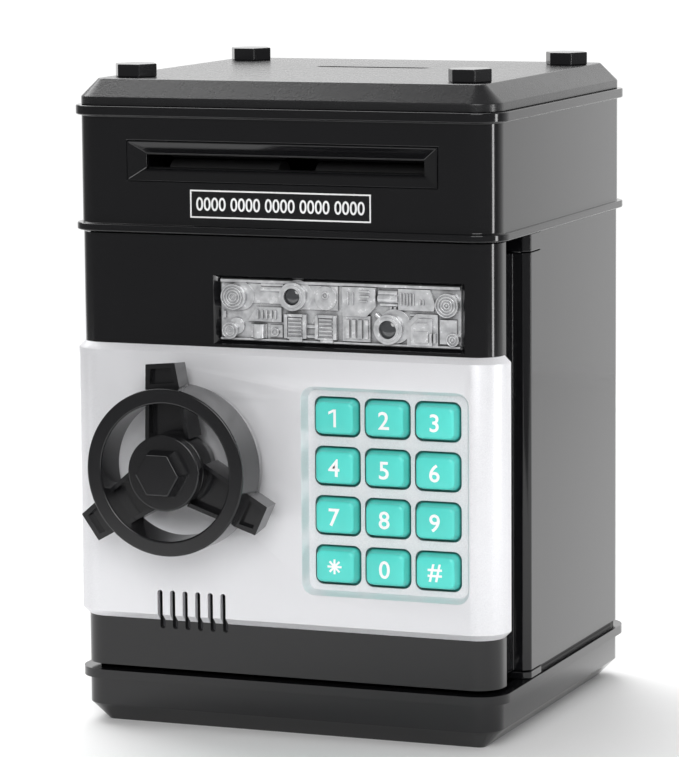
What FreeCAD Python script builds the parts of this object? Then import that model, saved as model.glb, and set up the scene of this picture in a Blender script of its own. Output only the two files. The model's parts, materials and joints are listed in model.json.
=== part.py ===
import FreeCAD, Part
import math
import os
import re
import Sketcher

# Toy savings bank shaped like a cash machine, in millimetres.
# +X points to the right of the door, +Y to the back, +Z up.
# The origin is the centre of the case's footprint, on the surface that it stands on.

doc = FreeCAD.newDocument("savings_bank")
sheet = doc.addObject("Spreadsheet::Sheet", "Dims")
nodes = []

DIMENSIONS = {
    # case
    "case_wide": 136.0, "case_deep": 126.0, "corner_round": 8.0, "band_proud": 2.0, "wall": 2.2,
    "base_floor": 3.0, "base_wall": 3.2, "base_top": 17.1, "base_band_low": 14.3,
    "base_bevel": 5.8, "floor_thick": 1.6,
    "shell_low": 153.7, "mid_band_top": 156.0, "top_band_low": 189.0, "shell_top": 192.0,
    "shell_wall": 2.6, "lid_side_top": 194.5, "lid_top": 200.0, "lid_inset": 5.5, "lid_thick": 2.7,
    "case_front": -52.2, "post_wide": 13.0, "neck_inset": 1.4, "neck_tall": 1.5, "shell_proud": 0.25,
    # screws, and the gaps between pieces that lift out of each other
    "screw_round": 1.2, "screw_head": 2.6, "screw_head_tall": 1.4, "screw_hole": 1.6, "screw_sink": 2.9,
    "screw_bite": 11.0, "fit_gap": 0.3, "running_gap": 0.05,
    # hinge
    "pivot_x": 62.75, "pivot_y": -29.05, "barrel_half": 6.75, "barrel_bevel": 2.0,
    "barrel_low": 19.7, "barrel_top": 148.0, "hinge_gap": 0.3, "pin_round": 2.0,
    "pin_long": 16.0, "hinge_bay": 12.0, "bay_gap": 1.3, "web_thick": 3.0,
    # door
    "door_low": 18.6, "door_top": 153.1, "door_front": -63.0, "door_back": -52.7,
    "window_left": -22.3, "window_right": 58.6, "window_low": 120.3, "window_top": 141.3,
    "window_bevel": 1.6, "flange": 1.6, "boss_x": 50.0, "boss_low": 26.0, "boss_high": 146.4,
    "boss_round": 2.8, "boss_bore": 1.1, "bearing_round": 6.0, "bearing_long": 3.0,
    # fascia
    "fascia_low": 33.8, "fascia_top": 119.35, "fascia_back": -54.0,
    "pad_mid_x": 33.6, "pad_mid_z": 76.9, "pad_wide": 53.8, "pad_high": 63.8, "pad_deep": 3.0,
    "pad_slope": 24.0, "pad_round": 4.0, "pad_floor": 1.4, "pad_rim": 0.5,
    "groove_outer": 24.0, "groove_inner": 23.2, "groove_deep": 0.4,
    # keys
    "key_wide": 14.2, "key_high": 11.6, "key_round": 2.2, "key_pitch_x": 16.1, "key_pitch_z": 15.1,
    "key_proud": 3.4, "key_gap": 0.3, "key_flange": 0.6, "key_flange_thick": 0.8, "key_travel": 1.2,
    "key_slack": 0.2, "sheet_thick": 1.0, "board_thick": 1.6, "board_inset": 1.5,
    # window
    "relief_thick": 1.2, "relief_proud": 0.8, "led_gap": 4.2, "led_board_thick": 1.4, "lamp_round": 1.5,
    "lamp_tall": 2.6, "lamp_mid": 18.0, "lamp_pitch": 22.0,
    # speaker grille
    "slit_first": -40.45, "slit_pitch": 4.2, "slit_wide": 1.7, "slit_low": 31.1, "slit_top": 43.5,
    "slit_count": 6, "speaker_z": 39.0, "speaker_round": 14.0, "basket_deep": 3.0, "magnet_round": 7.2,
    # wheel and latch
    "wheel_x": -30.0, "wheel_z": 83.3, "ring_outer": 25.6, "ring_inner": 21.0,
    "ring_front": -84.0, "ring_deep": 13.7, "hub_round": 11.6, "hub_front": -85.0,
    "hub_deep": 12.0, "boss_foot": 9.0, "boss_gap": 0.4, "bore_deep": 9.0,
    "arm_root": 14.8, "arm_start": 8.0, "arm_tip": 9.6, "arm_reach": 32.4,
    "arm_back": 4.2, "arm_deep": 9.5, "arm_turn": -5.0, "spindle_round": 3.0, "spindle_end": 3.0,
    "cap_flats": 12.0, "cap_front": -89.8, "cap_well": 1.5,
    "cam_round": 14.0, "cam_front": -45.1, "cam_thick": 2.6, "tongue_reach": 31.0, "tongue_wide": 10.0,
    "collar_round": 6.0, "collar_long": 4.0, "notch_deep": 3.6, "notch_wide": 5.0,
    "bolt_round": 2.0, "bolt_long": 21.0, "bolt_gap": 0.5, "solenoid_gap": 5.0, "solenoid_long": 22.0,
    "solenoid_front": -49.5, "solenoid_back": -39.0, "solenoid_half": 7.0, "well_deep": 17.0,
    "keeper_long": 7.3, "keeper_front": -47.0, "keeper_thick": 1.6, "keeper_low": 70.0, "keeper_top": 97.0,
    "keeper_foot": 11.0, "keeper_foot_thick": 1.2,
    # inner cover of the door
    "cover_left": -55.0, "cover_right": 52.0, "cover_low": 30.0, "cover_top": 142.0, "cover_back": -37.0,
    "slot_gap": 1.2, "slot_inner": 30.0, "slot_above": 27.0,
    # note feeder
    "feed_y": -45.0, "nip_z": 175.0, "roller_round": 5.9, "feed_pitch": 12.0, "feed_shaft": 1.5,
    "gear_size": 0.75, "gear_face": 4.0, "plate_inner": 50.0, "plate_thick": 1.6,
    "plate_ahead": 8.5, "plate_behind": 9.0, "plate_above": 12.0, "ear_behind": 19.5, "ear_low": 7.0,
    "tyre_inner": 6.0, "tyre_outer": 42.0, "shaft_end": 2.0, "gear_gap": 1.0,
    "guide_front": -58.2, "guide_back": 7.2, "guide_thick": 1.2, "rib_x": 24.0, "rib_half": 0.8,
    "hanger_x": 48.7, "hanger_half": 1.0, "motor_up": 7.1, "motor_behind": 12.45, "motor_long": 24.0,
    "motor_half_y": 6.0, "motor_half_z": 5.0, "tail_long": 1.5, "tail_round": 2.5, "motor_well": 2.3,
    "sensor_left": 20.0, "sensor_right": 40.0, "sensor_back": -53.0, "eye_inset": 7.0, "eye_tall": 3.0,
    "slot_half": 50.3, "slot_low": 169.3, "slot_top": 181.6, "throat_half": 45.0, "throat_tall": 4.4,
    "bezel_deep": 4.6, "bezel_flare": 3.0, "bezel_rim": 0.5,
    "tray_low": 153.9, "tray_thick": 1.6, "drop_half": 47.0, "drop_front": -35.0, "drop_back": 6.0,
    # main board
    "main_half": 45.0, "main_low": 159.0, "main_top": 188.0, "stand_x": 40.0, "stand_low": 163.0,
    "stand_high": 184.0, "stand_long": 4.0, "stand_round": 2.2,
    # label
    "label_half": 29.3, "label_low": 158.6, "label_top": 167.1, "label_thick": 0.3,
    # top
    "coin_y": 16.0, "coin_long": 38.0, "coin_wide": 5.0,
    "chute_wall": 1.3, "chute_gap": 0.5, "chute_drop": 4.0,
    "bolt_x": 54.5, "bolt_y": 46.0, "bolt_flats": 12.0, "bolt_tall": 4.0, "bolt_shank": 2.5,
    # batteries
    "cell_round": 7.1, "cell_long": 50.5, "cell_pitch": 14.8, "cell_low": 1.9, "bay_half_x": 22.3,
    "bay_half_y": 29.2, "bay_wall": 1.4, "bay_step": 0.8,
    "cover_thick": 1.5, "cover_tab": 3.6, "cover_land": 0.6, "screw_y": 34.6,
    "cover_boss_round": 3.2, "cover_boss_top": 13.0, "cell_button": 2.7, "button_tall": 1.0,
    "contact_face": 28.6, "contact_half": 5.5, "spring_round": 5.0, "spring_tip": 3.0, "stud_round": 2.5,
    "contact_gap": 0.1,
}

for row, (alias, value) in enumerate(DIMENSIONS.items(), start=1):
    sheet.set(f"A{row}", alias.replace("_", " "))
    sheet.set(f"B{row}", str(value))
    sheet.setAlias(f"B{row}", alias)
doc.recompute()


def formula(text):
    """Point every dimension named in a formula at its cell."""
    return re.sub(r"[a-z][a-z_]*", lambda word: "Dims." + word.group() if word.group() in DIMENSIONS
                  else word.group(), str(text))


def size(text):
    """The present value of a formula, for shapes that are worked out in this script."""
    return float(sheet.evalExpression(formula(text)))


def bind(item, prop, text):
    item.setExpression(prop, formula(text))


def node(piece):
    """Keep a finished piece as one of the sub-parts."""
    piece.Label = piece.Name
    nodes.append(piece)
    return piece


# Primitives. A span is a pair of formulas, the low and the high end.

def block(name, x, y, z):
    item = doc.addObject("Part::Box", name)
    for prop, corner, (low, high) in zip(("Length", "Width", "Height"), "xyz", (x, y, z)):
        bind(item, prop, f"({high}) - ({low})")
        bind(item, f"Placement.Base.{corner}", low)
    return item


TURN_TO_AXIS = {
    "x": FreeCAD.Rotation(FreeCAD.Vector(0, 1, 0), 90),
    "y": FreeCAD.Rotation(FreeCAD.Vector(1, 0, 0), -90),
    "z": FreeCAD.Rotation(),
}


def along(item, axis, centre, span):
    """Lay a round primitive along an axis; centre gives the other two coordinates in X, Y, Z order."""
    item.Placement = FreeCAD.Placement(FreeCAD.Vector(), TURN_TO_AXIS[axis])
    places = list(centre)
    places.insert("xyz".index(axis), span[0])
    for corner, place in zip("xyz", places):
        bind(item, f"Placement.Base.{corner}", place)
    bind(item, "Height", f"({span[1]}) - ({span[0]})")
    return item


def rod(name, axis, centre, span, radius):
    item = doc.addObject("Part::Cylinder", name)
    bind(item, "Radius", radius)
    return along(item, axis, centre, span)


def taper(name, axis, centre, span, low_radius, high_radius):
    item = doc.addObject("Part::Cone", name)
    bind(item, "Radius1", low_radius)
    bind(item, "Radius2", high_radius)
    return along(item, axis, centre, span)


def hexagon(name, axis, centre, span, flats):
    item = doc.addObject("Part::Prism", name)
    item.Polygon = 6
    bind(item, "Circumradius", f"({flats}) / sqrt(3)")
    return along(item, axis, centre, span)


def fuse(name, *pieces):
    item = doc.addObject("Part::MultiFuse", name)
    item.Shapes = list(pieces)
    return item


def group(name, *pieces):
    item = doc.addObject("Part::Compound", name)
    item.Links = list(pieces)
    return item


def cut(name, base, *tools):
    item = doc.addObject("Part::Cut", name)
    item.Base = base
    item.Tool = tools[0] if len(tools) == 1 else group(name + "_tools", *tools)
    return item


# Sketched bodies

def origin_sketch(body, name, plane, start):
    """A sketch on one of the body's own origin planes, moved along its normal by start."""
    sketch = body.newObject("Sketcher::SketchObject", name)
    support = [item for item in body.Origin.OriginFeatures if item.Role == plane][0]
    sketch.AttachmentSupport = [(support, "")]
    sketch.MapMode = "FlatFace"
    bind(sketch, "AttachmentOffset.Base.z", start)
    return sketch


def constrain(sketch, label, text, *where):
    """Add a dimension whose value comes from a formula."""
    kind, *points = where
    index = sketch.addConstraint(Sketcher.Constraint(kind, *points, size(text)))
    sketch.renameConstraint(index, label)
    bind(sketch, f"Constraints.{label}", text)


def draw_rounded_rectangle(sketch, centre, wide, high, radius):
    """Sides are geometry 0, 2, 4 and 6 (bottom, right, top, left); the corners between them are arcs."""
    across, up = size(f"({wide}) / 2"), size(f"({high}) / 2")
    bend = size(radius)
    mid = FreeCAD.Vector(size(centre[0]), size(centre[1]), 0)
    for quarter in range(4):
        reach, rise = (across, up) if quarter % 2 == 0 else (up, across)
        turn = FreeCAD.Rotation(FreeCAD.Vector(0, 0, 1), 90 * quarter)
        line = [FreeCAD.Vector(x, -rise, 0) for x in (bend - reach, reach - bend)]
        sketch.addGeometry(Part.LineSegment(*[mid + turn.multVec(point) for point in line]), False)
        hub = mid + turn.multVec(FreeCAD.Vector(reach - bend, bend - rise, 0))
        circle = Part.Circle(hub, FreeCAD.Vector(0, 0, 1), bend)
        start = math.radians(90 * quarter - 90)
        sketch.addGeometry(Part.ArcOfCircle(circle, start, start + math.pi / 2), False)
    for edge in range(8):
        sketch.addConstraint(Sketcher.Constraint("Tangent", edge, 2, (edge + 1) % 8, 1))
    for side, kind in ((0, "Horizontal"), (2, "Vertical"), (4, "Horizontal"), (6, "Vertical")):
        sketch.addConstraint(Sketcher.Constraint(kind, side))
    for corner in (3, 5, 7):
        sketch.addConstraint(Sketcher.Constraint("Equal", 1, corner))
    constrain(sketch, "bend", radius, "Radius", 1)
    constrain(sketch, "wide", wide, "DistanceX", 6, 1, 2, 1)
    constrain(sketch, "high", high, "DistanceY", 0, 1, 4, 1)
    constrain(sketch, "right", f"{centre[0]} + ({wide}) / 2", "DistanceX", -1, 1, 2, 1)
    constrain(sketch, "top", f"{centre[1]} + ({high}) / 2", "DistanceY", -1, 1, 4, 1)


def rounded(name, plane, centre, wide, high, radius, start, length, slope="0"):
    """A rounded rectangle padded along its plane's normal: +Z for XY_Plane, -Y for XZ_Plane."""
    body = doc.addObject("PartDesign::Body", name)
    sketch = origin_sketch(body, name + "_outline", plane, start)
    draw_rounded_rectangle(sketch, centre, wide, high, radius)
    pad = body.newObject("PartDesign::Pad", name + "_pad")
    pad.Profile = sketch
    bind(pad, "Length", length)
    if slope != "0":
        bind(pad, "TaperAngle", f"-({slope})")
    return body


def column(name, grow, low, high):
    """An upright block with the case's rounded footprint, larger all round by grow."""
    return rounded(name, "XY_Plane", ("0", "0"), f"case_wide + 2 * ({grow})", f"case_deep + 2 * ({grow})",
                   f"corner_round + ({grow})", low, f"({high}) - ({low})")


def outline(name, plane, points, start, length):
    """A straight-sided outline padded along its plane's normal; each point is a pair of formulas."""
    body = doc.addObject("PartDesign::Body", name)
    sketch = origin_sketch(body, name + "_outline", plane, start)
    corners = [FreeCAD.Vector(size(x), size(y), 0) for x, y in points]
    for index, corner in enumerate(corners):
        sketch.addGeometry(Part.LineSegment(corner, corners[(index + 1) % len(corners)]), False)
    for index in range(len(corners)):
        sketch.addConstraint(Sketcher.Constraint("Coincident", index, 2, (index + 1) % len(corners), 1))
    for index, (x, y) in enumerate(points):
        constrain(sketch, f"x{index}", x, "DistanceX", -1, 1, index, 1)
        constrain(sketch, f"y{index}", y, "DistanceY", -1, 1, index, 1)
    pad = body.newObject("PartDesign::Pad", name + "_pad")
    pad.Profile = sketch
    bind(pad, "Length", length)
    return body


def bevel(body, height, first, second):
    """Chamfer the outer edges of the body's flat face at this height."""
    doc.recompute()
    base = body.Tip
    faces = [f"Face{index}" for index, face in enumerate(base.Shape.Faces, start=1)
             if abs(face.BoundBox.ZMin - size(height)) < 1e-4 and face.BoundBox.ZLength < 1e-4]
    chamfer = body.newObject("PartDesign::Chamfer", body.Name + "_bevel_" + str(len(body.Group)))
    chamfer.Base = (base, faces)
    chamfer.ChamferType = "Two distances" if first != second else "Equal distance"
    bind(chamfer, "Size", first)
    if first != second:
        bind(chamfer, "Size2", second)
    return body


# Case

def base_pan():
    body = bevel(column("base_body", "0", "0", "base_top"), "0", "base_bevel", "base_bevel")
    outer = fuse("base_outer", body, column("base_band", "band_proud", "base_band_low", "base_top"))
    hollow = column("base_hollow", "-base_wall", "base_floor", "base_top + 1")
    bay = block("base_bay", ("-bay_half_x", "bay_half_x"), ("-bay_half_y", "bay_half_y"),
                ("-1", "base_floor + 1"))
    seat = block("base_seat", ("-bay_half_x", "bay_half_x"), ("-bay_half_y", "screw_y + cover_tab"),
                 ("-1", "cover_thick + 0.1"))
    boss = rod("base_boss", "z", ("0", "screw_y"), ("base_floor", "cover_boss_top"), "cover_boss_round")
    shell = fuse("base_shell", cut("base_tray", outer, hollow, bay, seat), boss)
    bores = [rod("base_screw_bore", "z", ("0", "screw_y"), ("-1", "cover_boss_top - 1"),
                 "screw_round + running_gap")]
    for side in (-1, 1):
        x, y = post_centre(side)
        bores.append(rod(f"base_post_bore_{side + 1}", "z", (x, y), ("-1", "base_floor + 1"), "screw_hole"))
        bores.append(rod(f"base_post_sink_{side + 1}", "z", (x, y), ("-1", "screw_head_tall"),
                         "screw_sink"))
    node(cut("base_pan", shell, *bores))


def post_centre(side):
    """The screw posts stand in the rear corners of the case."""
    return f"{side} * (case_wide / 2 - wall - post_wide / 2)", "case_deep / 2 - wall - post_wide / 2"


def battery_box():
    outer = block("battery_outer", ("-bay_half_x - bay_wall", "bay_half_x + bay_wall"),
                  ("-bay_half_y - bay_wall", "bay_half_y + bay_wall"), ("base_floor", "base_top"))
    inner = block("battery_inner", ("-bay_half_x", "bay_half_x"), ("-bay_half_y", "bay_half_y"),
                  ("base_floor - 1", "base_top - bay_step"))
    node(cut("battery_box", outer, inner))


def battery_cells():
    cells = []
    contacts = []
    for index in (-1, 0, 1):
        facing = 1 if index == 0 else -1
        centre = (f"{index} * cell_pitch", "cell_low + cell_round")
        half = "cell_long / 2"
        ends = [f"{facing} * ({half})", f"{facing} * ({half} + button_tall)"]
        button_span = ends if facing > 0 else ends[::-1]
        can = rod(f"cell_can_{index + 1}", "y", centre, (f"-{half}", half), "cell_round")
        button = rod(f"cell_button_{index + 1}", "y", centre, button_span, "cell_button")
        cells.append(fuse(f"cell_{index + 1}", can, button))
        spring = [f"-{facing} * contact_face", f"-{facing} * ({half} + contact_gap)"]
        radii = ("spring_round", "spring_tip")
        if facing < 0:
            spring, radii = spring[::-1], radii[::-1]
        contacts.append(taper(f"contact_spring_{index + 1}", "y", centre, spring, *radii))
        stud = [f"{facing} * ({half} + button_tall + contact_gap)", f"{facing} * contact_face"]
        contacts.append(rod(f"contact_stud_{index + 1}", "y", centre, stud if facing > 0 else stud[::-1],
                            "stud_round"))
        for side in (-1, 1):
            span = [f"{side} * contact_face", f"{side} * (bay_half_y - contact_gap)"]
            contacts.append(block(f"contact_plate_{index + 1}_{side + 1}",
                                  (f"{index} * cell_pitch - contact_half",
                                   f"{index} * cell_pitch + contact_half"),
                                  span if side > 0 else span[::-1], ("base_floor + 0.5", "base_top - 2")))
    node(group("battery_cells", *cells))
    node(group("battery_contacts", *contacts))


def battery_cover():
    plate = block("cover_plate", ("fit_gap - bay_half_x", "bay_half_x - fit_gap"),
                  ("fit_gap - bay_half_y", "screw_y + cover_tab - fit_gap"), ("0", "cover_thick"))
    sink = rod("cover_sink", "z", ("0", "screw_y"), ("-1", "cover_thick - cover_land"), "screw_sink")
    hole = rod("cover_hole", "z", ("0", "screw_y"), ("-1", "cover_thick + 1"), "screw_hole")
    node(cut("battery_cover", plate, sink, hole))
    head = rod("battery_screw_head", "z", ("0", "screw_y"), ("0.1", "cover_thick - cover_land"), "screw_head")
    shank = rod("battery_screw_shank", "z", ("0", "screw_y"),
                ("cover_thick - cover_land", "cover_boss_top - 3"), "screw_round")
    node(fuse("battery_screw", head, shank))


def compartment_floor():
    plate = column("floor_column", "-wall - fit_gap", "base_top", "base_top + floor_thick")
    front = block("floor_front", ("-case_wide", "case_wide"), ("-case_deep", "case_front + 0.7"),
                  ("0", "shell_top"))
    bay = block("floor_hinge", ("pivot_x - hinge_bay", "case_wide"), ("-case_deep", "pivot_y + hinge_bay"),
                ("0", "shell_top"))
    posts = []
    for side in (-1, 1):
        x, y = post_centre(side)
        half = "post_wide / 2 + fit_gap"
        posts.append(block(f"floor_post_{side + 1}", (f"{x} - ({half})", f"{x} + {half}"),
                           (f"{y} - ({half})", "case_deep"), ("0", "shell_top")))
    node(cut("compartment_floor", plate, front, bay, *posts))


def rear_case():
    neck_top = "base_top + neck_tall"
    outer = fuse("rear_outer", column("rear_neck", "-neck_inset", "base_top", neck_top),
                 column("rear_body", "0", neck_top, "shell_low"))
    walls = cut("rear_walls", outer, column("rear_inner", "-wall", "base_top - 1", "shell_low + 1"))
    front = block("rear_front", ("-case_wide", "case_wide"), ("-case_deep", "case_front"),
                  ("0", "shell_top"))
    bay = block("rear_hinge_bay", ("pivot_x - hinge_bay", "case_wide"),
                ("-case_deep", "pivot_y + barrel_half + bay_gap"), ("0", "shell_top"))
    posts = []
    bores = []
    for side in (-1, 1):
        x, y = post_centre(side)
        half = "post_wide / 2"
        posts.append(block(f"rear_post_{side + 1}", (f"{x} - {half}", f"{x} + {half}"),
                           (f"{y} - {half}", f"{y} + {half}"), ("base_top", "shell_low")))
        bores.append(rod(f"rear_bore_{side + 1}", "z", (x, y), ("0", "shell_top"),
                         "screw_round + running_gap"))
    node(cut("rear_case", fuse("rear_open", cut("rear_sides", walls, front, bay), *posts), *bores))


def case_screws():
    screws = []
    for side in (-1, 1):
        centre = post_centre(side)
        low_head = rod(f"low_head_{side + 1}", "z", centre, ("0.2", "screw_head_tall"), "screw_head")
        low_shank = rod(f"low_shank_{side + 1}", "z", centre, ("screw_head_tall", "base_top + screw_bite"),
                        "screw_round")
        top = "tray_low + tray_thick"
        high_head = rod(f"high_head_{side + 1}", "z", centre, (top, f"{top} + screw_head_tall"),
                        "screw_head")
        high_shank = rod(f"high_shank_{side + 1}", "z", centre, ("shell_low - screw_bite", top),
                         "screw_round")
        screws += [fuse(f"low_screw_{side + 1}", low_head, low_shank),
                   fuse(f"high_screw_{side + 1}", high_head, high_shank)]
    node(group("case_screws", *screws))


def latch_keeper():
    wall_face = "-case_wide / 2 + wall"
    hook = block("keeper_hook", (wall_face, f"{wall_face} + keeper_long"),
                 ("keeper_front", "keeper_front + keeper_thick"), ("keeper_low", "keeper_top"))
    foot = block("keeper_foot", (wall_face, f"{wall_face} + keeper_foot_thick"),
                 ("keeper_front", "keeper_front + keeper_foot"), ("keeper_low", "keeper_top"))
    node(fuse("latch_keeper", hook, foot))


def upper_shell():
    outer = fuse("shell_outer", column("shell_body", "shell_proud", "shell_low", "shell_top"),
                 column("shell_mid_band", "band_proud", "shell_low", "mid_band_top"),
                 column("shell_top_band", "band_proud", "top_band_low", "shell_top"))
    hollow = column("shell_hollow", "-shell_wall", "shell_low - 1", "shell_top + 1")
    mouth = block("shell_mouth", ("-slot_half", "slot_half"), ("-case_deep", "0"), ("slot_low", "slot_top"))
    node(cut("upper_shell", outer, hollow, mouth))


def top_lid():
    outer = bevel(column("lid_body", "shell_proud", "shell_top", "lid_top"), "lid_top",
                  "lid_top - lid_side_top",
                  "lid_top - lid_side_top")
    hollow = column("lid_hollow", "-lid_inset - fit_gap", "shell_top - 1", "lid_top - lid_thick")
    slot = rounded("lid_slot", "XY_Plane", ("0", "coin_y"), "coin_long", "coin_wide",
                   "coin_wide / 2 - 0.01",
                   "lid_top - 10", "20")
    holes = [rod(f"lid_hole_{index}", "z", place, ("lid_top - 10", "lid_top + 1"), "bolt_shank + 0.1")
             for index, place in enumerate(bolt_places())]
    node(cut("top_lid", outer, hollow, slot, *holes))


def bolt_places():
    return [(f"{x} * bolt_x", f"{y} * bolt_y") for x in (-1, 1) for y in (-1, 1)]


def corner_bolts():
    bolts = []
    for index, place in enumerate(bolt_places()):
        head = hexagon(f"bolt_head_{index}", "z", place, ("lid_top", "lid_top + bolt_tall"), "bolt_flats")
        shank = rod(f"bolt_shank_{index}", "z", place, ("lid_top - lid_thick - 3", "lid_top"), "bolt_shank")
        bolts.append(fuse(f"bolt_{index}", head, shank))
    node(group("corner_bolts", *bolts))


def funnel(name, mid_z, front, back, front_size, back_size, middle="0"):
    """A rectangular funnel-shaped space along Y, given by its half widths and heights at both ends."""
    item = doc.addObject("Part::Wedge", name)
    for prop, text in (("Ymin", front), ("Ymax", back),
                       ("Xmin", f"{middle} - ({front_size[0]})"), ("Xmax", f"{middle} + {front_size[0]}"),
                       ("Zmin", f"{mid_z} - ({front_size[1]})"), ("Zmax", f"{mid_z} + {front_size[1]}"),
                       ("X2min", f"{middle} - ({back_size[0]})"), ("X2max", f"{middle} + {back_size[0]}"),
                       ("Z2min", f"{mid_z} - ({back_size[1]})"), ("Z2max", f"{mid_z} + {back_size[1]}")):
        bind(item, prop, text)
    return item


def note_slot_bezel():
    middle = "(slot_low + slot_top) / 2"
    front = "-case_deep / 2 - shell_proud"
    frame = block("bezel_frame", ("0.1 - slot_half", "slot_half - 0.1"), (front, f"{front} + bezel_deep"),
                  ("slot_low + 0.1", "slot_top - 0.1"))
    throat = block("bezel_throat", ("-throat_half", "throat_half"), ("-case_deep", "0"),
                   ("nip_z - throat_tall / 2", "nip_z + throat_tall / 2"))
    flare = funnel("bezel_flare", middle, f"{front} - 0.01", f"{front} + bezel_flare",
                   ("slot_half - bezel_rim", "(slot_top - slot_low) / 2 - bezel_rim"),
                   ("throat_half", "throat_tall / 2"))
    node(cut("note_slot_bezel", frame, throat, flare))


def label_plate():
    back = "-case_deep / 2 - shell_proud"
    node(block("label_plate", ("-label_half", "label_half"), (f"{back} - label_thick", back),
               ("label_low", "label_top")))


def coin_chute():
    half_long, half_wide = "coin_long / 2 + chute_gap", "coin_wide / 2 + chute_gap"
    outer = block("chute_outer", (f"-({half_long}) - chute_wall", f"{half_long} + chute_wall"),
                  (f"coin_y - ({half_wide}) - chute_wall", f"coin_y + {half_wide} + chute_wall"),
                  ("shell_low - chute_drop", "lid_top - lid_thick"))
    inner = block("chute_inner", (f"-({half_long})", half_long),
                  (f"coin_y - ({half_wide})", f"coin_y + {half_wide}"), ("0", "lid_top"))
    node(cut("coin_chute", outer, inner))


def divider_tray():
    plate = column("tray_column", "-shell_wall - 0.2", "tray_low", "tray_low + tray_thick")
    room = "chute_gap + chute_wall + 0.2"
    drop = block("tray_drop", ("-drop_half", "drop_half"), ("drop_front", "drop_back"), ("0", "shell_top"))
    hole = block("tray_chute_hole", (f"-coin_long / 2 - ({room})", f"coin_long / 2 + {room}"),
                 (f"coin_y - coin_wide / 2 - ({room})", f"coin_y + coin_wide / 2 + {room}"),
                 ("0", "shell_top"))
    bores = [rod(f"tray_bore_{side + 1}", "z", post_centre(side), ("0", "shell_top"), "screw_hole")
             for side in (-1, 1)]
    node(cut("divider_tray", plate, drop, hole, *bores))


# Note feeder

UPPER_AXLE = ("feed_y", "nip_z + feed_pitch / 2")
LOWER_AXLE = ("feed_y", "nip_z - feed_pitch / 2")
MOTOR_AXLE = ("feed_y + motor_behind", "nip_z + feed_pitch / 2 + motor_up")
DRIVE_TEETH, PAIR_TEETH, PINION_TEETH = 28, 16, 10
OUTSIDE = "plate_inner + plate_thick + gear_gap"


def feed_frame():
    floor = "tray_low + tray_thick"
    along_y = ("feed_y - plate_ahead", "feed_y + plate_behind")
    plates = []
    for side in (-1, 1):
        span = [f"{side} * plate_inner", f"{side} * (plate_inner + plate_thick)"]
        span = span if side > 0 else span[::-1]
        plates.append(block(f"frame_plate_{side + 1}", span, along_y,
                            (floor, "nip_z + plate_above")))
        if side < 0:
            plates.append(block("frame_motor_ear", span, ("feed_y", "feed_y + ear_behind"),
                                ("nip_z + ear_low", "nip_z + ear_behind")))
    plates.append(block("frame_strip", ("-plate_inner", "plate_inner"), along_y,
                        (floor, f"{floor} + plate_thick")))
    holes = [rod(f"frame_bore_{name}", "x", axle, ("-case_wide", "case_wide"), "feed_shaft + running_gap")
             for name, axle in (("upper", UPPER_AXLE), ("lower", LOWER_AXLE), ("motor", MOTOR_AXLE))]
    node(cut("feed_frame", fuse("frame_blank", *plates), *holes))


def note_guides():
    span = ("fit_gap - plate_inner", "plate_inner - fit_gap")
    deep = ("guide_front", "feed_y - guide_back")
    gap_low, gap_top = "nip_z - throat_tall / 2", "nip_z + throat_tall / 2"
    lower = block("guide_lower", span, deep, (f"{gap_low} - guide_thick", gap_low))
    upper = block("guide_upper", span, deep, (gap_top, f"{gap_top} + guide_thick"))
    supports = []
    for side in (-1, 1):
        rib = (f"{side} * rib_x - rib_half", f"{side} * rib_x + rib_half")
        hanger = (f"{side} * hanger_x - hanger_half", f"{side} * hanger_x + hanger_half")
        supports.append(block(f"guide_rib_{side + 1}", rib, deep,
                              ("tray_low + tray_thick + plate_thick", f"{gap_low} - guide_thick")))
        supports.append(block(f"guide_hanger_{side + 1}", hanger, deep,
                              (f"{gap_low} - guide_thick", f"{gap_top} + guide_thick")))
    node(fuse("note_guides", lower, upper, *supports))


# Tooth proportions, in modules, with room between the flanks of a pair.
ADDENDUM, DEDENDUM, TOOTH_SHARE, PRESSURE_ANGLE = 0.9, 1.15, 0.82, 20


def gear(name, teeth, axle, low_x, phase):
    """A spur gear about X with straight-flanked teeth; phase counts tooth pitches from +Y towards +Z."""
    module = size("gear_size")
    pitch_radius = teeth * module / 2
    tip, root = pitch_radius + ADDENDUM * module, pitch_radius - DEDENDUM * module
    slope = math.tan(math.radians(PRESSURE_ANGLE))
    thick = TOOTH_SHARE * math.pi * module / 2
    tip_half = (thick / 2 - ADDENDUM * module * slope) / tip
    root_half = min((thick / 2 + DEDENDUM * module * slope) / root, 0.9 * math.pi / teeth)
    points = []
    for tooth in range(teeth):
        middle = 2 * math.pi * (tooth + phase) / teeth
        for radius, lean in ((root, -root_half), (tip, -tip_half), (tip, tip_half), (root, root_half)):
            points.append(FreeCAD.Vector(0, radius * math.cos(middle + lean),
                                         radius * math.sin(middle + lean)))
    face = Part.Face(Part.makePolygon(points + points[:1]))
    wheel = face.extrude(FreeCAD.Vector(size("gear_face"), 0, 0))
    bore = Part.makeCylinder(size("feed_shaft"), size("gear_face"), FreeCAD.Vector(),
                             FreeCAD.Vector(1, 0, 0))
    item = doc.addObject("Part::Feature", name)
    item.Shape = wheel.cut(bore)
    item.Placement.Base = FreeCAD.Vector(size(low_x), size(axle[0]), size(axle[1]))
    return item


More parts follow.
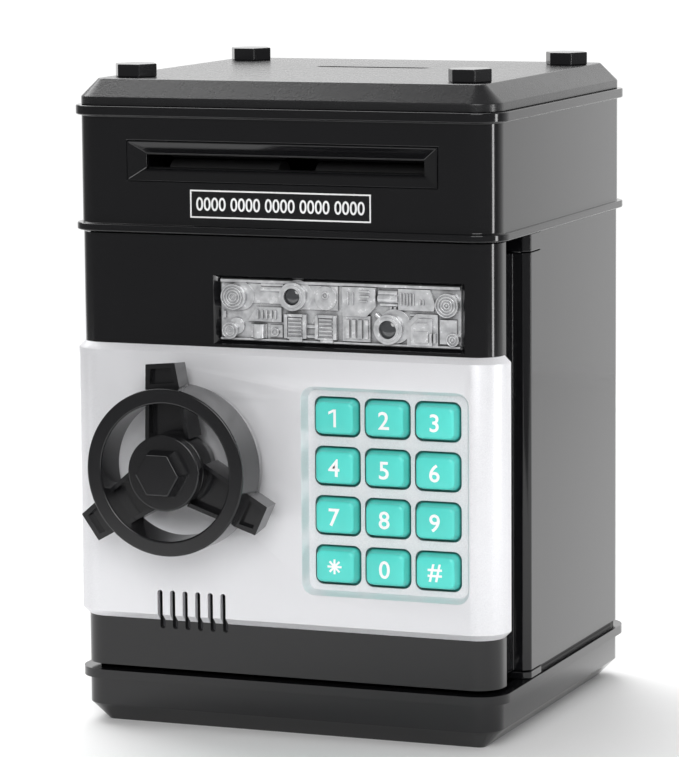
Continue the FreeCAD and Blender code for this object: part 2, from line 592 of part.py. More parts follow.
def feed_rollers():
    reach = "plate_inner + plate_thick + gear_face + shaft_end"
    tyres = (("-tyre_outer", "-tyre_inner"), ("tyre_inner", "tyre_outer"))
    for name, axle in (("upper", UPPER_AXLE), ("lower", LOWER_AXLE)):
        left = f"-({reach})" if name == "upper" else "-plate_inner - plate_thick - gear_gap"
        node(rod(f"{name}_feed_shaft", "x", axle, (left, reach), "feed_shaft"))
        rings = []
        for index, span in enumerate(tyres):
            ring = rod(f"{name}_tyre_{index}", "x", axle, span, "roller_round")
            rings.append(cut(f"{name}_ring_{index}", ring,
                             rod(f"{name}_core_{index}", "x", axle, span, "feed_shaft")))
        node(group(f"{name}_feed_rollers", *rings))
    # The toothed pair on the right meets on the vertical through both axles.
    to_lower = -PAIR_TEETH / 4
    pair = gear("upper_pair_gear", PAIR_TEETH, UPPER_AXLE, OUTSIDE, to_lower)
    # The motor stands behind and above the upper axle, so the drive gear turns a tooth towards it.
    rise, run = size(f"{MOTOR_AXLE[1]} - ({UPPER_AXLE[1]})"), size(f"{MOTOR_AXLE[0]} - {UPPER_AXLE[0]}")
    towards = math.atan2(rise, run) / (2 * math.pi)
    left_x = f"-({OUTSIDE}) - gear_face"
    drive = gear("upper_drive_gear", DRIVE_TEETH, UPPER_AXLE, left_x, towards * DRIVE_TEETH)
    node(group("upper_roller_gears", pair, drive))
    lower = gear("lower_roller_gear", PAIR_TEETH, LOWER_AXLE, OUTSIDE, PAIR_TEETH / 4 + 0.5)
    node(lower)
    pinion = gear("pinion_teeth", PINION_TEETH, MOTOR_AXLE, left_x, (towards + 0.5) * PINION_TEETH + 0.5)
    spindle = rod("pinion_shaft", "x", MOTOR_AXLE, (left_x, "motor_well - plate_inner - fit_gap"),
                  "feed_shaft")
    node(fuse("motor_pinion", pinion, spindle))


def feed_motor():
    y, z = MOTOR_AXLE
    can = block("motor_can", ("-plate_inner", "motor_long - plate_inner"),
                (f"{y} - motor_half_y", f"{y} + motor_half_y"),
                (f"{z} - motor_half_z", f"{z} + motor_half_z"))
    nose = rod("motor_tail", "x", MOTOR_AXLE,
               ("motor_long - plate_inner", "motor_long + tail_long - plate_inner"),
               "tail_round")
    well = rod("motor_well", "x", MOTOR_AXLE, ("-plate_inner - 1", "motor_well - plate_inner"),
               "feed_shaft + running_gap")
    node(cut("feed_motor", fuse("motor_blank", can, nose), well))


def note_sensor():
    top = "nip_z + throat_tall / 2 + guide_thick"
    board = block("sensor_board", ("sensor_left", "sensor_right"), ("guide_front", "sensor_back"),
                  (top, f"{top} + 1"))
    eye = block("sensor_eye", ("sensor_left + eye_inset", "sensor_right - eye_inset"),
                ("guide_front + 0.7", "sensor_back - 0.7"), (f"{top} + 1", f"{top} + 1 + eye_tall"))
    node(fuse("note_sensor", board, eye))


# Parts on the main board: X, Z, half size, height.
CHIPS = ((-12, 174, 6, 1.6), (12, 172, 4, 1.4), (30, 176, 3.5, 7), (-33, 173, 4, 5))


def main_board():
    wall_face = "case_deep / 2 - shell_wall"
    back = f"{wall_face} - stand_long"
    front = f"{back} - board_thick"
    pieces = [block("board_sheet", ("-main_half", "main_half"), (front, back), ("main_low", "main_top"))]
    for index, place in enumerate((x, z) for x in ("-stand_x", "stand_x") for z in ("stand_low",
                                                                                    "stand_high")):
        pieces.append(rod(f"board_stand_{index}", "y", place, (back, wall_face), "stand_round"))
    for index, (x, z, half, tall) in enumerate(CHIPS):
        pieces.append(block(f"board_chip_{index}", (f"{x} - {half}", f"{x} + {half}"),
                            (f"{front} - {tall}", front),
                            (f"{z} - {half}", f"{z} + {half}")))
    node(fuse("main_board", *pieces))


# Hinge

def hinge_section(name, low, high):
    """The bar's square section with bevelled corners."""
    near, far = "barrel_half - barrel_bevel", "barrel_half"
    corners = [(near, f"-{far}"), (far, f"-({near})"), (far, near), (near, far),
               (f"-({near})", far), (f"-{far}", near), (f"-{far}", f"-({near})"), (f"-({near})", f"-{far}")]
    points = [(f"pivot_x + {x}", f"pivot_y + {y}") for x, y in corners]
    return outline(name, "XY_Plane", points, low, f"({high}) - ({low})")


def hinge_leaf():
    bar = hinge_section("leaf_bar", "barrel_low", "barrel_top")
    tall = ("barrel_low", "barrel_top")
    web = block("leaf_web", ("pivot_x - web_thick / 2", "pivot_x + web_thick / 2"),
                ("door_back", "pivot_y"), tall)
    foot = block("leaf_foot", ("pivot_x - web_thick / 2", "case_wide / 2 - wall"),
                 ("door_back - flange", "door_back"),
                 ("door_low + wall + fit_gap", "door_top - wall - fit_gap"))
    deep = "pin_long + 1"
    low = rod("leaf_low_bore", "z", ("pivot_x", "pivot_y"), ("0", f"barrel_low + {deep}"),
              "pin_round + running_gap")
    high = rod("leaf_high_bore", "z", ("pivot_x", "pivot_y"), (f"barrel_top - ({deep})", "shell_top"),
               "pin_round + running_gap")
    node(cut("hinge_leaf", fuse("leaf_blank", bar, web, foot), low, high))


def hinge_caps():
    low = hinge_section("hinge_cap_low", "base_top", "barrel_low - hinge_gap")
    high = hinge_section("hinge_cap_high", "barrel_top + hinge_gap", "shell_low")
    bore = rod("hinge_cap_bore", "z", ("pivot_x", "pivot_y"), ("0", "shell_top"), "pin_round")
    node(cut("hinge_caps", fuse("hinge_cap_pair", low, high), bore))
    centre = ("pivot_x", "pivot_y")
    node(group("hinge_pins",
               rod("pin_low", "z", centre, ("base_top", "barrel_low + pin_long"), "pin_round"),
               rod("pin_high", "z", centre, ("barrel_top - pin_long", "shell_low"), "pin_round")))


# Door

BOSSES = [(x, z) for x in ("-boss_x", "boss_x") for z in ("boss_low", "boss_high")]


def door_shell():
    tray = cut("door_tray", column("door_outer", "0", "door_low", "door_top"),
               column("door_hollow", "-wall", "door_low + wall", "door_top - wall"),
               block("door_behind", ("-case_wide", "case_wide"), ("door_back", "case_deep"),
                     ("0", "shell_top")))
    bosses = [rod(f"door_boss_{index}", "y", place, ("door_front + wall", "door_back - flange"),
                  "boss_round")
              for index, place in enumerate(BOSSES)]
    bearing = rod("door_bearing", "y", ("wheel_x", "wheel_z"),
                  ("door_front", "door_front + wall + bearing_long"),
                  "bearing_round")
    middle = "(window_low + window_top) / 2"
    half_wide, half_high = "(window_right - window_left) / 2", "(window_top - window_low) / 2"
    window = funnel("door_window", middle, "door_front - 0.01", "door_front + wall + 0.01",
                    (half_wide, half_high),
                    (f"{half_wide} - window_bevel", f"{half_high} - window_bevel / 1.6"),
                    "(window_left + window_right) / 2")
    rim = "pad_rim + fit_gap"
    pad_hole = block("door_pad_hole",
                     (f"pad_mid_x - pad_wide / 2 - ({rim})", f"pad_mid_x + pad_wide / 2 + {rim}"),
                     ("-case_deep", "door_front + 2 * wall"),
                     (f"pad_mid_z - pad_high / 2 - ({rim})", f"pad_mid_z + pad_high / 2 + {rim}"))
    bore = rod("door_spindle_bore", "y", ("wheel_x", "wheel_z"), ("-case_deep", "0"),
               "spindle_round + running_gap")
    screw_bores = [rod(f"door_screw_bore_{index}", "y", place, ("door_front + wall + 0.6", "0"),
                       "boss_bore + running_gap")
                   for index, place in enumerate(BOSSES)]
    blank = fuse("door_blank", tray, bearing, *bosses)
    node(cut("door_shell", blank, window, pad_hole, bore, *screw_bores, *slits("door")))


def slits(owner):
    """The speaker grille's upright slits, as tools that cut through the front of the door."""
    return [rounded(f"{owner}_slit_{index}", "XZ_Plane",
                    (f"slit_first + {index} * slit_pitch", "(slit_low + slit_top) / 2"),
                    "slit_wide", "slit_top - slit_low", "slit_wide / 2 - 0.01", "case_deep / 2 - wall",
                    "12")
            for index in range(DIMENSIONS["slit_count"])]


def silver_fascia():
    skin = column("fascia_skin", "band_proud", "fascia_low", "fascia_top")
    skin = bevel(skin, "fascia_low", "band_proud", "band_proud")
    skin = bevel(skin, "fascia_top", "band_proud", "band_proud")
    shell = cut("fascia_shell", skin, column("fascia_inside", "0", "0", "shell_top"),
                block("fascia_behind", ("-case_wide", "case_wide"), ("fascia_back", "case_deep"),
                      ("0", "shell_top")))
    rim = "pad_rim"
    tray = block("fascia_tray",
                 (f"pad_mid_x - pad_wide / 2 - ({rim})", f"pad_mid_x + pad_wide / 2 + {rim}"),
                 ("door_front - 0.5", "door_front - band_proud + pad_deep + pad_floor"),
                 (f"pad_mid_z - pad_high / 2 - ({rim})", f"pad_mid_z + pad_high / 2 + {rim}"))
    recess = rounded("fascia_recess", "XZ_Plane", ("pad_mid_x", "pad_mid_z"),
                     "pad_wide - 2 * pad_deep * tan(pad_slope)",
                     "pad_high - 2 * pad_deep * tan(pad_slope)", "pad_round - pad_deep * tan(pad_slope)",
                     "-(door_front - band_proud + pad_deep)", "pad_deep + 0.001", "-pad_slope")
    holes = [key_block(f"fascia_hole_{name}", column_index, row_index, "key_gap",
                       "door_front - band_proud + pad_deep + pad_floor + 1", "pad_floor + 2")
             for name, column_index, row_index in KEYS]
    bore = rod("fascia_bore", "y", ("wheel_x", "wheel_z"), ("-case_deep", "0"),
               "spindle_round + 2 * fit_gap")
    ring = cut("fascia_ring", rod("fascia_ring_outer", "y", ("wheel_x", "wheel_z"),
                                  ("door_front - band_proud - 1", "door_front - band_proud + groove_deep"),
                                  "groove_outer"),
               rod("fascia_ring_inner", "y", ("wheel_x", "wheel_z"), ("-case_deep", "0"), "groove_inner"))
    node(cut("silver_fascia", fuse("fascia_blank", shell, tray), recess, bore, ring, *holes,
             *slits("fascia")))


KEYS = [(name, index % 3 - 1, 1.5 - index // 3)
        for index, name in enumerate(("1", "2", "3", "4", "5", "6", "7", "8", "9", "star", "0", "hash"))]


def key_block(name, column_index, row_index, grow, back, length, slope="0"):
    """A rounded block at one place of the keypad's grid, from its back face towards the front."""
    centre = (f"pad_mid_x + {column_index} * key_pitch_x", f"pad_mid_z + {row_index} * key_pitch_z")
    return rounded(name, "XZ_Plane", centre, f"key_wide + 2 * ({grow})", f"key_high + 2 * ({grow})",
                   f"key_round + ({grow})", f"-({back})", length, slope)


def keys():
    floor_back = "door_front - band_proud + pad_deep + pad_floor"
    for name, column_index, row_index in KEYS:
        cap = key_block(f"cap_{name}", column_index, row_index, "0", f"{floor_back} + fit_gap",
                        "pad_floor + key_proud + fit_gap")
        flange = key_block(f"flange_{name}", column_index, row_index, "key_flange",
                           f"{floor_back} + key_slack + key_flange_thick", "key_flange_thick")
        node(fuse(f"key_{name}", cap, flange))


def keypad_sheets():
    floor_back = "door_front - band_proud + pad_deep + pad_floor"
    sheet_front = f"{floor_back} + key_slack + key_flange_thick + key_travel + 0.1"
    half_x, half_z = "pad_wide / 2 - board_inset", "pad_high / 2 - board_inset"
    x = (f"pad_mid_x - ({half_x})", f"pad_mid_x + {half_x}")
    z = (f"pad_mid_z - ({half_z})", f"pad_mid_z + {half_z}")
    node(block("keypad_membrane", x, (sheet_front, f"{sheet_front} + sheet_thick"), z))
    node(block("keypad_board", x,
               (f"{sheet_front} + sheet_thick", f"{sheet_front} + sheet_thick + board_thick"), z))


def window_parts():
    back = "door_front + wall"
    high = "window_bevel / 1.6 + 0.1"
    plate = block("relief_flange", ("window_left - 1", "window_right + 1"),
                  (back, f"{back} + relief_thick"),
                  ("window_low - 0.4", "window_top + 0.6"))
    face = block("relief_face", ("window_left + window_bevel + 0.1", "window_right - window_bevel - 0.1"),
                 (f"{back} - relief_proud", back), (f"window_low + {high}", f"window_top - ({high})"))
    node(fuse("window_relief", plate, face))
    board_front = f"{back} + led_gap"
    board = block("led_sheet", ("window_left + 1", "window_right - 1"),
                  (board_front, f"{board_front} + led_board_thick"), ("window_low + 1", "window_top - 1"))
    lamps = [rod(f"led_lamp_{index + 1}", "y",
                 (f"lamp_mid + {index} * lamp_pitch", "(window_low + window_top) / 2"),
                 (f"{board_front} - lamp_tall", board_front), "lamp_round") for index in (-1, 0, 1)]
    node(fuse("led_board", board, *lamps))


def door_inner_cover():
    everywhere = ("-case_deep", "0")
    flange = block("cover_flange", ("-case_wide / 2 + wall + 2 * fit_gap", "pivot_x - web_thick / 2 - 0.2"),
                   ("door_back - flange", "door_back"),
                   ("door_low + wall + fit_gap", "door_top - wall - fit_gap"))
    case = block("cover_case", ("cover_left", "cover_right"), ("door_back - flange", "cover_back"),
                 ("cover_low", "cover_top"))
    hollow = block("cover_hollow", ("cover_left + flange", "cover_right - flange"),
                   ("-case_deep", "cover_back - flange"), ("cover_low + flange", "cover_top - flange"))
    # The latch's tongue swings out through the left side.
    slot = block("cover_slot", ("-case_wide", "cover_left + flange + 0.01"),
                 ("cam_front - slot_gap", "cam_front + cam_thick + slot_gap"),
                 ("wheel_z - tongue_wide / 2 - 1", "wheel_z + slot_above"))
    bores = [rod(f"cover_bore_{index}", "y", place, everywhere, "boss_bore + fit_gap")
             for index, place in enumerate(BOSSES)]
    node(cut("door_inner_cover", fuse("cover_blank", flange, case), hollow, slot, *bores))


def door_screws():
    screws = []
    for index, place in enumerate(BOSSES):
        shank = rod(f"door_screw_shank_{index}", "y", place, ("door_front + wall + 2", "door_back"),
                    "boss_bore")
        head = rod(f"door_screw_head_{index}", "y", place, ("door_back", "door_back + screw_head_tall"),
                   "screw_head")
        screws.append(fuse(f"door_screw_{index}", shank, head))
    node(group("door_screws", *screws))


def speaker():
    centre = ("slit_first + (slit_count - 1) / 2 * slit_pitch", "speaker_z")
    front = "door_front + wall + fit_gap"
    basket = rod("speaker_basket", "y", centre, (front, f"{front} + basket_deep"), "speaker_round")
    magnet = rod("speaker_magnet", "y", centre, (f"{front} + basket_deep", "door_back - flange - 0.1"),
                 "magnet_round")
    node(fuse("speaker", basket, magnet))


# Wheel and latch

def wheel_arm(index):
    """A bar that narrows from the hub, through the rim, to the grip at its tip; turns are clockwise."""
    root, tip = "arm_root / 2", "arm_tip / 2"
    corners = [(f"-{root}", "arm_start"), (root, "arm_start"), (tip, "arm_reach"), (f"-{tip}", "arm_reach")]
    arm = outline(f"wheel_arm_{index}", "XZ_Plane", corners,
                  "-(ring_front + arm_back + arm_deep)", "arm_deep")
    turn = 120 * index + size("arm_turn")
    arm.Placement = FreeCAD.Placement(FreeCAD.Vector(), FreeCAD.Rotation(FreeCAD.Vector(0, 1, 0), turn))
    bind(arm, "Placement.Base.x", "wheel_x")
    bind(arm, "Placement.Base.z", "wheel_z")
    return arm


def hand_wheel():
    centre = ("wheel_x", "wheel_z")
    rim = rod("rim_outer", "y", centre, ("ring_front", "ring_front + ring_deep"), "ring_outer")
    rim = cut("rim", rim, rod("rim_inner", "y", centre, ("-case_deep", "0"), "ring_inner"))
    hub = rod("wheel_hub", "y", centre, ("hub_front", "hub_front + hub_deep"), "hub_round")
    boss = rod("wheel_boss", "y", centre, ("hub_front + hub_deep", "door_front - band_proud - boss_gap"),
               "boss_foot")
    blank = fuse("wheel_blank", rim, hub, boss, *[wheel_arm(index) for index in range(3)])
    node(cut("hand_wheel", blank,
             rod("wheel_bore", "y", centre, ("hub_front + hub_deep - bore_deep", "0"), "spindle_round")))
    neck = hexagon("cap_neck", "y", centre, ("cap_front", "hub_front"), "cap_flats")
    node(cut("wheel_hex_cap", neck,
             rod("cap_well", "y", centre, ("hub_front - cap_well", "0"), "cap_well")))
    node(rod("wheel_spindle", "y", centre,
             ("hub_front + hub_deep - bore_deep", "cam_front + cam_thick + spindle_end"),
             "spindle_round"))


def latch_cam():
    centre = ("wheel_x", "wheel_z")
    span = ("cam_front", "cam_front + cam_thick")
    disc = rod("cam_disc", "y", centre, span, "cam_round")
    collar = rod("cam_collar", "y", centre, ("cam_front - collar_long", "cam_front"), "collar_round")
    tongue = block("cam_tongue", ("wheel_x - tongue_wide / 2", "wheel_x + tongue_wide / 2"), span,
                   ("wheel_z", "wheel_z + tongue_reach"))
    bore = rod("cam_bore", "y", centre, ("-case_deep", "0"), "spindle_round")
    right = block("cam_notch_right", ("wheel_x + cam_round - notch_deep", "wheel_x + cam_round + 1"),
                  ("-case_deep", "0"),
                  ("wheel_z - notch_wide / 2", "wheel_z + notch_wide / 2"))
    below = block("cam_notch_below", ("wheel_x - notch_wide / 2", "wheel_x + notch_wide / 2"),
                  ("-case_deep", "0"),
                  ("wheel_z - cam_round - 1", "wheel_z - cam_round + notch_deep"))
    node(cut("latch_cam", fuse("cam_blank", disc, collar, tongue), bore, right, below))


def lock():
    tip = "wheel_x + cam_round + bolt_gap"
    middle = ("cam_front + cam_thick / 2", "wheel_z")
    body_left = f"{tip} + solenoid_gap"
    coil = block("solenoid_case", (body_left, f"{body_left} + solenoid_long"),
                 ("solenoid_front", "solenoid_back"),
                 ("wheel_z - solenoid_half", "wheel_z + solenoid_half"))
    well = rod("solenoid_well", "x", middle, (f"{body_left} - 1", f"{body_left} + well_deep"),
               "bolt_round + running_gap")
    node(cut("lock_solenoid", coil, well))
    node(rod("lock_plunger", "x", middle, (tip, f"{tip} + bolt_long"), "bolt_round"))


for build in (base_pan, battery_box, battery_cells, battery_cover, compartment_floor, rear_case,
              case_screws,
              latch_keeper, upper_shell, top_lid, corner_bolts, note_slot_bezel, label_plate, coin_chute,
              divider_tray, feed_frame, note_guides, feed_rollers, feed_motor, note_sensor, main_board,
              hinge_leaf, hinge_caps, door_shell, silver_fascia, keys, keypad_sheets, window_parts,
              door_inner_cover, door_screws, speaker, hand_wheel, latch_cam, lock):
    build()

doc.recompute()
faults = [item.Name for item in doc.Objects if {"Invalid", "Error"} & set(item.State)]
faults += [item.Name for item in nodes if item.Shape.isNull() or not item.Shape.isValid()]
if faults:
    raise RuntimeError("not built: " + ", ".join(faults))

os.makedirs("parts", exist_ok=True)
for item in nodes:
    item.Shape.exportStep(f"parts/{item.Label}.step")
print(len(nodes), "sub-parts")
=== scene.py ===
import json
import math

import bmesh
import bpy
from mathutils import Matrix, Vector

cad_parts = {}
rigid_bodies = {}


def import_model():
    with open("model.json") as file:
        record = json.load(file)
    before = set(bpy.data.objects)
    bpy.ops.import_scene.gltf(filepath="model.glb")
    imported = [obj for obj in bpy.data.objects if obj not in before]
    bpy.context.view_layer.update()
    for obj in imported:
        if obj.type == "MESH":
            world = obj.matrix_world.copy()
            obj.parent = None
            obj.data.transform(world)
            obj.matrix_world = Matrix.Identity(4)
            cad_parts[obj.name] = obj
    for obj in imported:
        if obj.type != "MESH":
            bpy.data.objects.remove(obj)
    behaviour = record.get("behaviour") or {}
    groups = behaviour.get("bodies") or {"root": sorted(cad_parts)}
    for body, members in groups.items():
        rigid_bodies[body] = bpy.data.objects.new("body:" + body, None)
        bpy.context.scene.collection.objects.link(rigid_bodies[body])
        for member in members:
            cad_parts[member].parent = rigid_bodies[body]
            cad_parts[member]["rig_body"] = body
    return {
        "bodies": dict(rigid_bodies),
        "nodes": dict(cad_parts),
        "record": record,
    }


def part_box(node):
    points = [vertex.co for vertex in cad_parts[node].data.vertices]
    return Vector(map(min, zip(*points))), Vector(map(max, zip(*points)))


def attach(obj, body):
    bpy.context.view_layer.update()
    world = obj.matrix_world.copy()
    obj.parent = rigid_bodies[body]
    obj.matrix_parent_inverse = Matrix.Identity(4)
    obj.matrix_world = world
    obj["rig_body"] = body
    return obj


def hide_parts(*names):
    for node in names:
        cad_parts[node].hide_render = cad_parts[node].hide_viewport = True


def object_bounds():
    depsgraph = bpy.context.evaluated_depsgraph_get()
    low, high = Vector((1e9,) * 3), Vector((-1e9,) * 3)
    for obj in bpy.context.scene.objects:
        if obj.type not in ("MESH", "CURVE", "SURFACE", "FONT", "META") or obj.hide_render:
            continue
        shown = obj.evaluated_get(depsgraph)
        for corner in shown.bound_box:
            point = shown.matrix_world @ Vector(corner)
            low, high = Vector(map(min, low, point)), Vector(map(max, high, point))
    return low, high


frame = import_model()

cad_box = [list(corner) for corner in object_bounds()]
MM = 0.001


# ---------------------------------------------------------------- materials

def new_material(name, colour, roughness, **sockets):
    """A Principled material; constant values go straight on its sockets."""
    material = bpy.data.materials.new(name)
    material.use_nodes = True
    shader = material.node_tree.nodes["Principled BSDF"]
    shader.inputs["Base Color"].default_value = (*colour, 1)
    shader.inputs["Roughness"].default_value = roughness
    for socket, value in sockets.items():
        shader.inputs[socket.replace("_", " ")].default_value = value
    return material, material.node_tree, shader


def add(tree, kind, **settings):
    node = tree.nodes.new(kind)
    for name, value in settings.items():
        if name in node.inputs:
            node.inputs[name].default_value = value
        else:
            setattr(node, name, value)
    return node


def noise(tree, scale, detail=3.0, stretch=(1, 1, 1)):
    """Noise laid out in the object's own metres."""
    place = add(tree, "ShaderNodeTexCoord")
    stretched = add(tree, "ShaderNodeMapping")
    stretched.inputs["Scale"].default_value = stretch
    tree.links.new(place.outputs["Object"], stretched.inputs["Vector"])
    texture = add(tree, "ShaderNodeTexNoise", Scale=scale, Detail=detail)
    tree.links.new(stretched.outputs["Vector"], texture.inputs["Vector"])
    return texture.outputs["Fac"]


def ramp(tree, source, low_at, low_value, high_at, high_value):
    """Map a factor to a colour or grey between two stops."""
    node = add(tree, "ShaderNodeValToRGB")
    for stop, at, value in zip(node.color_ramp.elements, (low_at, high_at), (low_value, high_value)):
        stop.position = at
        stop.color = (*value, 1) if isinstance(value, tuple) else (value, value, value, 1)
    tree.links.new(source, node.inputs["Fac"])
    return node.outputs["Color"]


def bump(tree, shader, source, strength, distance):
    node = add(tree, "ShaderNodeBump", Strength=strength, Distance=distance)
    tree.links.new(source, node.inputs["Height"])
    tree.links.new(node.outputs["Normal"], shader.inputs["Normal"])


def plastic(name, colour, roughness, grain=0.0, grain_scale=2600.0, spread=0.03, crease_shade=None,
            **sockets):
    """Moulded plastic, slightly uneven in colour and gloss, with fine grain or painted shade in its
    creases if wanted.
    """
    material, tree, shader = new_material(name, colour, roughness, **sockets)
    cloud = noise(tree, 45.0)
    darker = tuple(channel * (1 - 2 * spread) for channel in colour)
    lighter = tuple(min(1.0, channel * (1 + 2 * spread)) for channel in colour)
    body = ramp(tree, cloud, 0.3, darker, 0.7, lighter)
    # painted shade: the colour is darkened in narrow creases
    if crease_shade:
        body = painted_crease_shade(tree, body, *crease_shade)
    tree.links.new(body, shader.inputs["Base Color"])
    uneven = ramp(tree, noise(tree, 240.0, 5.0), 0.3, roughness * 0.94, 0.75, roughness * 1.06)
    tree.links.new(uneven, shader.inputs["Roughness"])
    if grain:
        bump(tree, shader, noise(tree, grain_scale, 2.0), grain, 0.0001)
    return material


def painted_crease_shade(tree, colour, dark, reach):
    """Painted shade: a colour made darker in narrow creases, wherever ambient occlusion finds the surface
    hemmed in.
    """
    shade = add(tree, "ShaderNodeAmbientOcclusion", Distance=reach, samples=8)
    unshaded_part = ramp(tree, shade.outputs["AO"], 0.15, dark, 0.75, 1.0)
    mix = add(tree, "ShaderNodeMix", data_type="RGBA", blend_type="MULTIPLY")
    mix.inputs["Factor"].default_value = 1.0
    tree.links.new(colour, mix.inputs["A"])
    tree.links.new(unshaded_part, mix.inputs["B"])
    return mix.outputs["Result"]


def silver_paint():
    """Satin silver paint with fine flakes, and painted shade darkening its creases."""
    material, tree, shader = new_material("silver_paint", (0.8, 0.8, 0.82), 0.4, Metallic=0.3)
    flakes = noise(tree, 5200.0, 2.0)
    colour = ramp(tree, flakes, 0.35, (0.73, 0.73, 0.755), 0.65, (0.85, 0.85, 0.87))
    # painted shade: the flake colour is darkened in narrow creases
    tree.links.new(painted_crease_shade(tree, colour, 0.35, 0.0012), shader.inputs["Base Color"])
    tree.links.new(ramp(tree, noise(tree, 260.0, 4.0), 0.3, 0.37, 0.7, 0.43), shader.inputs["Roughness"])
    bump(tree, shader, flakes, 0.1, 0.00005)
    return material


def clear_over_silver():
    """Clear moulded plastic with a silvered back: bright on its faces, with painted shade making it dark
    in its creases.
    """
    material, tree, shader = new_material("clear_plastic", (0.8, 0.8, 0.8), 0.16, Metallic=0.25,
                                          Coat_Weight=1.0, Coat_Roughness=0.04)
    uneven = noise(tree, 420.0, 4.0)
    colour = ramp(tree, uneven, 0.3, (0.48, 0.485, 0.5), 0.7, (0.76, 0.765, 0.78))
    # painted shade: the colour goes nearly black in creases
    tree.links.new(painted_crease_shade(tree, colour, 0.03, 0.003), shader.inputs["Base Color"])
    tree.links.new(ramp(tree, uneven, 0.3, 0.12, 0.7, 0.3), shader.inputs["Roughness"])
    bump(tree, shader, noise(tree, 900.0, 2.0), 0.35, 0.0001)
    return material


def circuit_board():
    """Green solder mask with paler copper tracks."""
    material, tree, shader = new_material("circuit_board", (0.02, 0.14, 0.05), 0.35)
    place = add(tree, "ShaderNodeTexCoord")
    tracks = add(tree, "ShaderNodeTexBrick", Scale=260.0)
    tracks.inputs["Mortar Size"].default_value = 0.012
    tracks.inputs["Color1"].default_value = (0.016, 0.12, 0.04, 1)
    tracks.inputs["Color2"].default_value = (0.02, 0.15, 0.05, 1)
    tracks.inputs["Mortar"].default_value = (0.09, 0.3, 0.1, 1)
    tree.links.new(place.outputs["Object"], tracks.inputs["Vector"])
    tree.links.new(tracks.outputs["Color"], shader.inputs["Base Color"])
    return material


def brushed_metal(name, colour, roughness):
    """Plated steel with fine drawn lines."""
    material, tree, shader = new_material(name, colour, roughness, Metallic=1.0)
    lines = noise(tree, 900.0, 3.0, stretch=(1, 14, 1))
    uneven = ramp(tree, lines, 0.3, roughness * 0.8, 0.7, roughness * 1.3)
    tree.links.new(uneven, shader.inputs["Roughness"])
    bump(tree, shader, lines, 0.15, 0.00005)
    return material


BLACK = (0.006, 0.006, 0.0068)
TURQUOISE = (0.1, 0.7, 0.62)
materials = {
    "black_plastic": plastic("black_plastic", BLACK, 0.11),
    "lid_plastic": plastic("lid_plastic", (0.011, 0.011, 0.012), 0.27, grain=0.3, grain_scale=1500.0),
    "satin_plastic": plastic("satin_plastic", (0.009, 0.009, 0.01), 0.16, grain=0.03),
    "inner_plastic": plastic("inner_plastic", (0.02, 0.02, 0.022), 0.42, grain=0.2),
    "silver_paint": silver_paint(),
    # the keys' colour carries painted shade in its creases
    "key_plastic": plastic("key_plastic", TURQUOISE, 0.3, grain=0.04, crease_shade=(0.3, 0.0018)),
    "key_print": plastic("key_print", (0.95, 0.97, 0.97), 0.4),
    "clear_plastic": clear_over_silver(),
    "dark_glass": plastic("dark_glass", (0.05, 0.052, 0.056), 0.12, Coat_Weight=1.0),
    "label": plastic("label", BLACK, 0.25),
    "label_print": plastic("label_print", (0.85, 0.85, 0.85), 0.45),
    "rubber": plastic("rubber", (0.035, 0.035, 0.036), 0.65, grain=0.3),
    "circuit_board": circuit_board(),
    "plated_steel": brushed_metal("plated_steel", (0.62, 0.62, 0.63), 0.3),
    "speaker_metal": plastic("speaker_metal", (0.06, 0.06, 0.065), 0.4),
    "gear_plastic": plastic("gear_plastic", (0.8, 0.8, 0.75), 0.4, grain=0.05),
    "cell_wrap": plastic("cell_wrap", (0.05, 0.08, 0.25), 0.25),
}


def paint(piece, material):
    piece.data.materials.clear()
    piece.data.materials.append(materials[material])


# ---------------------------------------------------------------- mesh helpers

def link(name, mesh):
    piece = bpy.data.objects.new(name, mesh)
    bpy.context.scene.collection.objects.link(piece)
    return piece


def bevel_edges(piece, width, segments=3, angle=32.0):
    modifier = piece.modifiers.new("soft_edges", "BEVEL")
    modifier.width = width
    modifier.segments = segments
    modifier.limit_method = "ANGLE"
    modifier.angle_limit = math.radians(angle)
    modifier.harden_normals = True
    return piece


def smooth(mesh, angle=32.0):
    """Shade smooth, with edges sharper than the angle kept crisp."""
    mesh.polygons.foreach_set("use_smooth", [True] * len(mesh.polygons))
    mesh.set_sharp_from_angle(angle=math.radians(angle))


def finish_piece(name, mesh, body, material, stands_for=(), edge=0.0, segments=3, angle=32.0):
    """Link a mesh as a piece that rides on a body, with a material and optionally bevelled edges."""
    smooth(mesh, angle)
    piece = link(name, mesh)
    paint(piece, material)
    if edge:
        bevel_edges(piece, edge, segments, angle)
    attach(piece, body)
    if stands_for:
        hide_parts(*stands_for)
    return piece


def soften(node, edge, segments=3, angle=32.0):
    """Show a CAD node as a copy with clean faces and small rounded edges."""
    source = frame["nodes"][node]
    work = bmesh.new()
    work.from_mesh(source.data)
    bmesh.ops.remove_doubles(work, verts=work.verts, dist=1e-6)
    bmesh.ops.dissolve_limit(work, angle_limit=math.radians(0.5), verts=work.verts, edges=work.edges)
    mesh = bpy.data.meshes.new(node + "_soft")
    work.to_mesh(mesh)
    work.free()
    slot = slots[node]
    return finish_piece(node + "_soft", mesh, source["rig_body"], slot, (node,), edge, segments, angle)


slots = {part["node"]: part["material_slot"] for part in frame["record"]["subparts"]}


# ---------------------------------------------------------------- carried-over parts

for name, item in frame["nodes"].items():
    paint(item, slots[name])

SOFT_EDGES = {"base_pan": 0.5, "upper_shell": 0.45, "top_lid": 0.5, "rear_case": 0.3, "door_shell": 0.35,
              "silver_fascia": 0.35, "hinge_leaf": 0.3, "hinge_caps": 0.3, "note_slot_bezel": 0.2}
for name, edge in SOFT_EDGES.items():
    soften(name, edge * MM)


# ---------------------------------------------------------------- solids in millimetres

